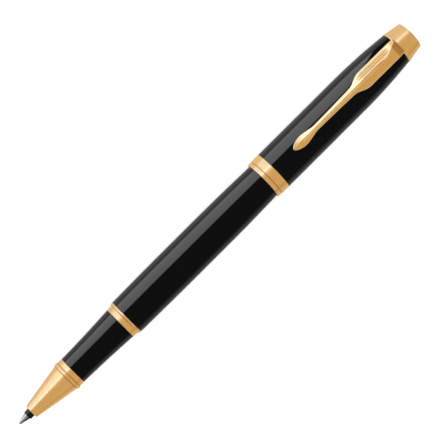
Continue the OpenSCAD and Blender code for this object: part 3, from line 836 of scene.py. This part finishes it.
def makeInnerCap():
    look = innerLook
    front, back = stations("inner_cap")
    outer, bore = radiusOf("inner_cap"), radiusOf("inner_cap") - look.wall
    straight = stations("barrel_shell")[1] + look.pastTail
    end = stations("cap_shell")[1] - look.endFromCap
    closed, corner, boss = end + look.endWall, look.cornerFillet, look.bossRadius
    ribs = []
    for k in range(look.ribs):  # shallow rings inside that click over the barrel
        at = front + look.ribAt + look.ribPitch * k
        crest = bore - look.ribHeight
        ribs += [(at, bore), (at + look.ribSlope, crest),
                 (at + look.ribLength - look.ribSlope, crest), (at + look.ribLength, bore)]
    outline = [
        (front, bore, look.mouthFillet), (front, outer, look.mouthFillet), (straight, outer),
        (end, look.endRadius, corner), (closed, look.endRadius - look.cornerDrop, corner),
        (closed, boss, look.bossFillet), (back, boss, look.bossFillet), (back, look.screwHole),
        (end, look.screwHole), (end, look.endBore, corner), (straight, bore), *ribs[::-1],
    ]
    liner = turnPiece("innerCap", outline, materials["liner"], look.segments)
    settle(liner, "cap", "liner_plastic", "inner_cap")


crownLook = Looks(
    topRadius=4.4, baseFillet=0.18, beadHeight=0.05, beadLength=0.5, beadFillet=0.1, sideRun=0.4, topFillet=0.3,
    topStep=0.32, dome=0.7, domeSteps=8, holeDepth=3.63, holeRadius=1.46, beadDrop=0.01, beadSlope=0.1, beadFoot=0.08,
    topOver=0.06,
)


def makeCrown():
    look = crownLook
    front, back = stations("crown")
    full, top, hole = radiusOf("crown"), look.topRadius, look.holeRadius
    domeAt, bead, holeEnd = back - look.dome, front + look.beadLength, front + look.holeDepth
    beadEnd = bead + look.beadSlope
    shares = [i / look.domeSteps for i in range(2, look.domeSteps + 1)]
    dome = [(domeAt + look.dome * (1 - (1 - t) ** 2), top * (1 - t)) for t in shares]

    def side(at):
        base = full - look.beadHeight
        return base + (top - base) * (at - front) / (domeAt - front)

    outline = [
        (front, hole), (front, full, look.baseFillet), (bead, full - look.beadDrop, look.beadFillet),
        (beadEnd, side(beadEnd), look.beadFoot), (domeAt - look.sideRun, side(domeAt - look.sideRun)),
        (domeAt + look.topOver, top, look.topFillet),
        (domeAt + look.topOver + look.beadSlope, top - look.topStep, look.topOver),
        *dome, (holeEnd, 0.0), (holeEnd, hole),
    ]
    settle(turnPiece("goldCrown", outline, materials["gold"]), "cap", "gold_trim", "crown")


makeBand()
makeCapTube()
makeInnerCap()
makeCrown()
print("cap made")

# clip

# some of these values place painted shade: along the centre groove, in the flutes and at the root's bend
clipLook = Looks(
    rootHalf=2.55, panelHalf=2.65, shaftHalf=0.85, padHalf=1.6, cornerEase=0.012, cornerFade=0.03, thickness=0.6,
    slope=0.25, thinFrom=0.87, thinShare=0.45, ridgeRound=0.05, knuckle=0.6, socketRadius=0.29, slotHalf=0.42,
    slotGap=0.05, slotCeiling=0.06, slotDepth=2.0, rootDrop=0.3, rootRun=0.25, rootBend=0.55, rootNarrow=0.4,
    rootLift=0.02, facetLength=0.165, facetRise=0.35, rootShadeAt=1.9, rootShadeRun=1.0, gap=0.8, padFrom=0.7,
    padTo=0.9, landGap=0.05, pointLift=0.25, topFillet=0.16, bottomFillet=0.08, topSteps=4, bottomSteps=3,
    bottomPoints=5, flutes=3, fluteDepth=0.07, fluteFrom=0.1, fluteTo=0.9, fluteEase=0.08, fluteShade=0.7,
    fluteStart=0.05, fluteIn=0.05, fluteEnd=0.3, fluteOut=0.1, grooveHalf=0.2, grooveDepth=0.09, grooveStart=0.12,
    grooveIn=0.1, grooveEnd=0.9, grooveOut=0.06, grooveCurve=0.7, stations=260, crowding=0.012, rootStations=12,
    rootShort=0.4, columns=40, easeSteps=3, topShares=(0.4, 0.45), bottomShare=0.3, facetEase=0.03, edgeFrom=0.97,
    underWear=0.6,
)
clipWidths = [  # share of the length from the hinge, width named above, extra
    (0.0, "rootHalf", 0.0), (0.04, "panelHalf", 0.0), (0.33, "panelHalf", 0.0), (0.36, "panelHalf", -0.25),
    (0.42, "shaftHalf", 0.45), (0.45, "shaftHalf", 0.3), (0.62, "shaftHalf", 0.12), (0.8, "shaftHalf", 0.0),
    (0.85, "padHalf", -0.35), (0.9, "padHalf", 0.0), (0.94, "padHalf", -0.12), (0.97, "padHalf", -0.45),
    (0.99, "padHalf", -0.9), (1.0, "padHalf", -1.35),
]
clipJoint = next(j for j in frame["record"]["behaviour"]["joints"] if j["name"] == "clip_flex")
hingeX, hingeZ = clipJoint["pos_m"][0] / mm, (clipJoint["pos_m"][2] - axisZ) / mm
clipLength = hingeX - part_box("clip")[0].x / mm


def smoothStep(value, start=0.0, run=1.0):
    t = min(1.0, max(0.0, (value - start) / run))
    return t * t * (3 - 2 * t)


def clipHalfWidth(t):  # straight runs between the widths above, with eased corners
    look = clipLook
    keys = [(at, look[base] + extra) for at, base, extra in clipWidths]

    def straight(at):
        at = min(1.0, max(0.0, at))
        for (t0, w0), (t1, w1) in zip(keys, keys[1:]):
            if at <= t1:
                return w0 + (w1 - w0) * (at - t0) / (t1 - t0)

    spread = look.cornerEase * min(1.0, (1 - t) / look.cornerFade)
    steps = look.easeSteps
    return sum(straight(t + spread * k / steps) for k in range(-steps, steps + 1)) / (2 * steps + 1)


def clipUnder(t):  # height of the underside over the axis, in mm
    look = clipLook
    cap = radiusOf("cap_shell")
    root, shaft, land = hingeZ - look.rootDrop, cap + look.gap, cap + look.landGap
    if t < look.padFrom:
        return root + (shaft - root) * smoothStep(t, 0.0, look.rootRun)
    if t < look.padTo:
        return shaft + (land - shaft) * smoothStep(t, look.padFrom, look.padTo - look.padFrom)
    return land + look.pointLift * smoothStep(t, look.padTo, 1 - look.padTo)


def edgeArc(y, z, radius, start, turn, steps, count, edge):  # points of a rounded edge, as (y, z, edge wear, painted shade)
    angles = [start + turn * k / steps for k in count]
    return [(y + radius * math.cos(a), z + radius * math.sin(a), edge, 0.0) for a in angles]


def clipSection(t, x):  # closed loop of (y, z, edge wear, painted shade) across the clip
    look = clipLook
    half, low = clipHalfWidth(t), clipUnder(t)
    thin = 1.0 - look.thinShare * smoothStep(t, look.thinFrom, 1 - look.thinFrom)
    top = low + look.thickness * thin
    crest = look.slope * half * thin
    away = abs(x - hingeX)
    if away < look.knuckle:  # the knuckle under the root
        low = min(low, hingeZ - math.sqrt(look.knuckle ** 2 - away ** 2))
    bend = (x - hingeX - look.knuckle) / look.rootBend + 1
    if bend > 0:  # the root turns down to the knuckle's back
        share = math.sqrt(max(0.0, 1 - bend * bend))
        base = hingeZ + look.rootLift
        top = base + (top - base) * share
        crest *= share
        half -= look.rootNarrow * (1 - share)
    fillet = min(look.topFillet, look.topShares[0] * half, look.topShares[1] * (top - low))
    under = min(look.bottomFillet, look.bottomShare * half, look.bottomShare * (top - low))
    flat = half - fillet
    fromRoot = (hingeX + look.knuckle - x) / (clipLength * look.facetLength)
    facet = top + crest * min(1.0, look.facetRise + max(0.0, fromRoot))
    field = smoothStep(t, look.fluteStart, look.fluteIn) * (1 - smoothStep(t, look.fluteEnd, look.fluteOut))
    groove = smoothStep(t, look.grooveStart, look.grooveIn)
    groove *= 1 - smoothStep(t, look.grooveEnd, look.grooveOut)
    # painted shade: the root end darkens where it bends down to the knuckle
    paintedRootShade = smoothStep(x - hingeX, -look.rootShadeAt, look.rootShadeRun)
    first, last, ease = look.fluteFrom, look.fluteTo, look.fluteEase
    loop = []
    for j in range(look.columns * 2 + 1):
        s = -1 + j / look.columns
        side, y = abs(s), s * flat
        ridge = (math.hypot(y, look.ridgeRound) - look.ridgeRound) / half
        z = min(top + crest * (1 - ridge), facet)
        inside = smoothStep(last - side, 0.0, ease) * smoothStep(side - first, 0.0, ease) * field
        wave = math.pi * look.flutes * (side - first) / (last - first)
        flute = abs(math.sin(wave)) if first < side < last else 0.0
        z -= look.fluteDepth * inside * (1 - flute) * smoothStep(facet - z, -look.facetEase / 5, look.facetEase)
        line = max(0.0, 1 - abs(y) / look.grooveHalf)
        z -= look.grooveDepth * groove * line ** look.grooveCurve
        # painted shade along the centre groove, in the flutes and at the root
        paintedShade = max(groove * line, look.fluteShade * inside * max(0.0, 1 - 2 * flute), paintedRootShade)
        loop.append((y, z, 1.0 if side > look.edgeFrom else 0.0, paintedShade))
    edgeZ = min(top + crest * (1 - flat / half), facet) - fillet
    quarter, upper, lower, spots = math.pi / 2, look.topSteps, look.bottomSteps, look.bottomPoints
    loop += edgeArc(flat, edgeZ, fillet, quarter, -quarter, upper, range(1, upper + 1), 1.0)
    loop += edgeArc(half - under, low + under, under, 0.0, -quarter, lower, range(lower + 1), look.underWear)
    loop += [((half - under) * (1 - 2 * k / spots), low, 0.0, 0.0) for k in range(1, spots)]
    loop += edgeArc(under - half, low + under, under, -quarter, -quarter, lower, range(lower + 1), look.underWear)
    loop += edgeArc(-flat, edgeZ, fillet, 2 * quarter, -quarter, upper, range(upper), 1.0)
    return loop


def makeClip():
    look = clipLook
    places = []
    for i in range(look.stations):
        u = i / (look.stations - 1)
        t = 1 - u + look.crowding * math.sin(2 * math.pi * u)  # a little closer together near both ends
        places.append((max(0.0, t), hingeX - clipLength * t))
    for i in range(1, look.rootStations + 1):  # round the knuckle's back, just short of its end
        turn = math.pi / 2 * i / (look.rootStations + look.rootShort)
        places.append((0.0, hingeX + look.knuckle * math.sin(turn)))
    vertices, edges, paintedShades = [], [], []
    for t, x in places:
        for y, z, edge, paintedShade in clipSection(t, x):
            vertices.append((x * mm, y * mm, axisZ + z * mm))
            edges.append(edge)
            paintedShades.append(paintedShade)
    size, count = len(vertices) // len(places), len(vertices)
    faces = [(i * size + j, i * size + (j + 1) % size, (i + 1) * size + (j + 1) % size, (i + 1) * size + j)
             for i in range(len(places) - 1) for j in range(size)]
    faces += [tuple(range(size))[::-1], tuple(range(count - size, count))]
    mesh = bpy.data.meshes.new("clip")
    mesh.from_pydata(vertices, [], faces)
    writeMarks(mesh, edges, paintedShades)
    clip = finishMesh("pocketClip", mesh, materials["clipGold"])
    x, z, slot = hingeX * mm, axisZ + hingeZ * mm, look.slotHalf * mm  # the slot and socket that the clip hangs by
    reach = (capLook.tongueHalf + look.slotGap) * mm
    low, high = (x - slot, -reach, z - look.slotDepth * mm), (x + slot, reach, z + look.slotCeiling * mm)
    cutPiece(clip, [(low, high)], [(x, z, look.socketRadius * mm, reach)])
    settle(clip, "clip", "gold_trim", "clip")


makeClip()
print("clip made")

# CAD nodes that stay

keptNodes = {"refill_tube": "tube", "ink_reservoir": "fibre", "feed_wick": "fibre", "refill_end_plug": "holder",
             "barrel_bush": "brass", "cap_screw": "wire", "clip_ring": "gold"}
for node, finish in keptNodes.items():
    kept = frame["nodes"][node]
    for place in kept.material_slots:
        place.material = materials[finish]
print("CAD nodes dressed:", len(keptNodes))

# floor, light, camera

# bright, near and far set the floor's painted reflection, a glow seen only by glossy rays
floorLook = Looks(
    size=3.0, colour=(0.9, 0.9, 0.9), grainTone=0.995, grainScale=40.0, roughness=0.9, bright=0.45, brightFrom=-0.01,
    brightTo=0.02, near=0.3, far=0.04, nearFrom=-0.06, nearTo=-0.01,
)


def makeFloor():
    look = floorLook
    half = look.size / 2
    mesh = bpy.data.meshes.new("floor")
    mesh.from_pydata([(-half, -half, 0), (half, -half, 0), (half, half, 0), (-half, half, 0)], [], [(0, 1, 2, 3)])
    floor = newObject("floor", mesh)
    material, tree = startMaterial("floorCard")
    shader = tree.nodes["Principled BSDF"]
    place = objectPlace(tree)
    grain = noise(tree, place, look.grainScale, 3.0)
    pale = tuple(c * look.grainTone for c in look.colour)
    feedAll(tree, shader, {"Base Color": mixColours(tree, grain, look.colour, pale),
                           "Roughness": look.roughness, "Specular IOR Level": 0.0})
    # painted reflection: for glossy rays the floor glows instead of reflecting, brightest behind the pen and dim in
    # front, and polished pieces mirror that glow
    across = addNode(tree, "ShaderNodeSeparateXYZ", {0: place}).outputs["Y"]
    behind = mapRange(tree, across, look.brightFrom, look.brightTo, last=look.bright)
    before = mapRange(tree, across, look.nearFrom, look.nearTo, "LINEAR", look.far, look.near)
    paintedReflectionGlow = addNode(tree, "ShaderNodeEmission", {"Strength": mathNode(tree, "MAXIMUM", behind, before)})
    mirrored = addNode(tree, "ShaderNodeLightPath").outputs["Is Glossy Ray"]
    mix = addNode(tree, "ShaderNodeMixShader", {0: mirrored, 1: shader.outputs[0], 2: paintedReflectionGlow.outputs[0]})
    feedAll(tree, tree.nodes["Material Output"], {"Surface": mix.outputs[0]})
    floor.data.materials.append(material)


worldLook = Looks(strength=0.5, mirrored=0.05)


def makeWorld():
    world = bpy.data.worlds.new("studio")
    bpy.context.scene.world = world
    world.use_nodes = True
    tree = world.node_tree
    mirrored = addNode(tree, "ShaderNodeLightPath").outputs["Is Glossy Ray"]
    strength = mapRange(tree, mirrored, 0.0, 1.0, "LINEAR", worldLook.strength, worldLook.mirrored)
    feedAll(tree, tree.nodes["Background"], {"Color": (1, 1, 1), "Strength": strength})


def addLight(name, place, towards, width, height, radiance, colour=(1, 1, 1), glossy=True):
    light = bpy.data.lights.new(name, "AREA")
    light.shape = "RECTANGLE"
    light.size, light.size_y = width, height
    light.energy = radiance * math.pi * width * height
    light.color = colour
    lamp = newObject(name, light)
    lamp.location = place
    direction = (Vector(towards) - Vector(place)).normalized()
    lamp.rotation_euler = direction.to_track_quat("-Z", "Y").to_euler()
    lamp.visible_camera = False
    lamp.visible_glossy = glossy
    return lamp


studio = Looks(
    softbox=1.95, softboxFade=0.85, topFill=2.6, goldSoft=1.8, goldKey=1.8, goldEnd=0.86, goldTop=0.66, tipFill=0.5,
    goldSide=0.7, goldCard=0.5, goldRearCard=0.48, goldFront=0.6, warm=(1.0, 0.81, 0.52), cool=(0.6, 0.7, 1.0),
    plain=(0.95, 0.95, 1.0),
)


def fadeLight(lamp, dimmest):  # a softbox that gets dimmer towards its upper edge
    lamp.data.use_nodes = True
    tree = lamp.data.node_tree
    spot = addNode(tree, "ShaderNodeNewGeometry").outputs["Parametric"]
    height = addNode(tree, "ShaderNodeSeparateXYZ", {0: spot}).outputs["Y"]
    feedAll(tree, tree.nodes["Emission"], {"Strength": mapRange(tree, height, 0.0, 1.0, "LINEAR", 1.0, dimmest)})


def makeLights():
    look = studio
    warm, cool = look.warm, look.cool
    names = ["noseCone", "sectionRing", "capBand", "goldCrown", "pocketClip", "couplingTube", "couplingThread"]
    golden, others, steel = [bpy.data.collections.new(name) for name in ("goldPieces", "otherPieces", "steelPieces")]
    for piece in [bpy.data.objects[name] for name in names] + [frame["nodes"]["clip_ring"]]:
        golden.objects.link(piece)
        others.objects.link(piece)
    for member in others.collection_objects:
        member.light_linking.link_state = "EXCLUDE"
    for name in ("turnedTip", "writingBall"):
        steel.objects.link(bpy.data.objects[name])
    over, below = (0, -0.25, 0.7), (0, -0.25, 0)
    tipFill = addLight("tipFill", over, below, 1.8, 1.0, look.tipFill)
    tipFill.light_linking.receiver_collection = steel
    softbox = addLight("softbox", (-0.3, 0.5, 0.475), (-0.3, 0, 0.475), 1.0, 0.93, look.softbox)
    softbox.light_linking.receiver_collection = others
    fadeLight(softbox, look.softboxFade)
    addLight("topFill", (0, -0.3, 1.2), (0, 0, 0), 2.0, 2.0, look.topFill, glossy=False)
    goldLights = [  # name, place, aim, width, height, strength, colour
        ("goldSoft", (-0.315, 0.5, 0.475), (-0.315, 0, 0.475), 0.97, 0.93, look.goldSoft, cool),
        ("goldEnd", (0.55, 0.5, 0.475), (0.55, 0, 0.475), 0.7, 0.93, look.goldEnd, look.plain),
        ("goldKey", (0, 0.363, 0.713), (0, 0, 0), 1.8, 0.2, look.goldKey, cool),
        ("goldOverhead", over, below, 1.8, 1.0, look.goldTop, warm),
        ("goldAside", (0, -0.6, 0.25), (0, 0, 0.05), 1.8, 0.5, look.goldSide, warm),
        ("goldCard", (0, -0.25, 0.001), (0, -0.25, 1), 1.8, 0.49, look.goldCard, warm),
        ("goldRearCard", (0, 0.25, 0.001), (0, 0.25, 1), 1.8, 0.49, look.goldRearCard, warm),
        ("goldFront", (-1.2, 0, 0.45), (0, 0, 0.1), 1.6, 0.8, look.goldFront, warm),
        ("goldBack", (1.2, 0, 0.45), (0, 0, 0.1), 1.6, 0.8, look.goldFront, warm),
    ]
    for plan in goldLights:
        addLight(*plan).light_linking.receiver_collection = golden


cameraPlan = Looks(aimFromTip=79.59, tilt=3.5, lean=1.3, lie=44.87, distance=0.625, lens=181.0, sensor=36.0)


def makeCamera():
    plan = cameraPlan
    camera = bpy.data.cameras.new("camera")
    camera.lens, camera.sensor_width = plan.lens, plan.sensor
    camera.clip_start, camera.clip_end = 0.01, 20.0
    holder = newObject("camera", camera)
    aim = Vector((tipX + plan.aimFromTip * mm, 0, axisZ))
    tilt = math.radians(plan.tilt)
    away = Vector((-math.sin(tilt), -math.sin(math.radians(plan.lean)), math.cos(tilt))).normalized()
    lie = math.radians(plan.lie)
    right = Vector((math.cos(lie), -math.sin(lie), 0))
    right = (right - away * right.dot(away)).normalized()
    up = away.cross(right)
    turn = Matrix((right, up, away)).transposed().to_4x4()
    holder.matrix_world = Matrix.Translation(aim + away * plan.distance) @ turn
    bpy.context.scene.camera = holder


makeFloor()
makeWorld()
makeLights()
makeCamera()
bpy.context.scene.view_settings.view_transform = "Standard"
print("studio made")
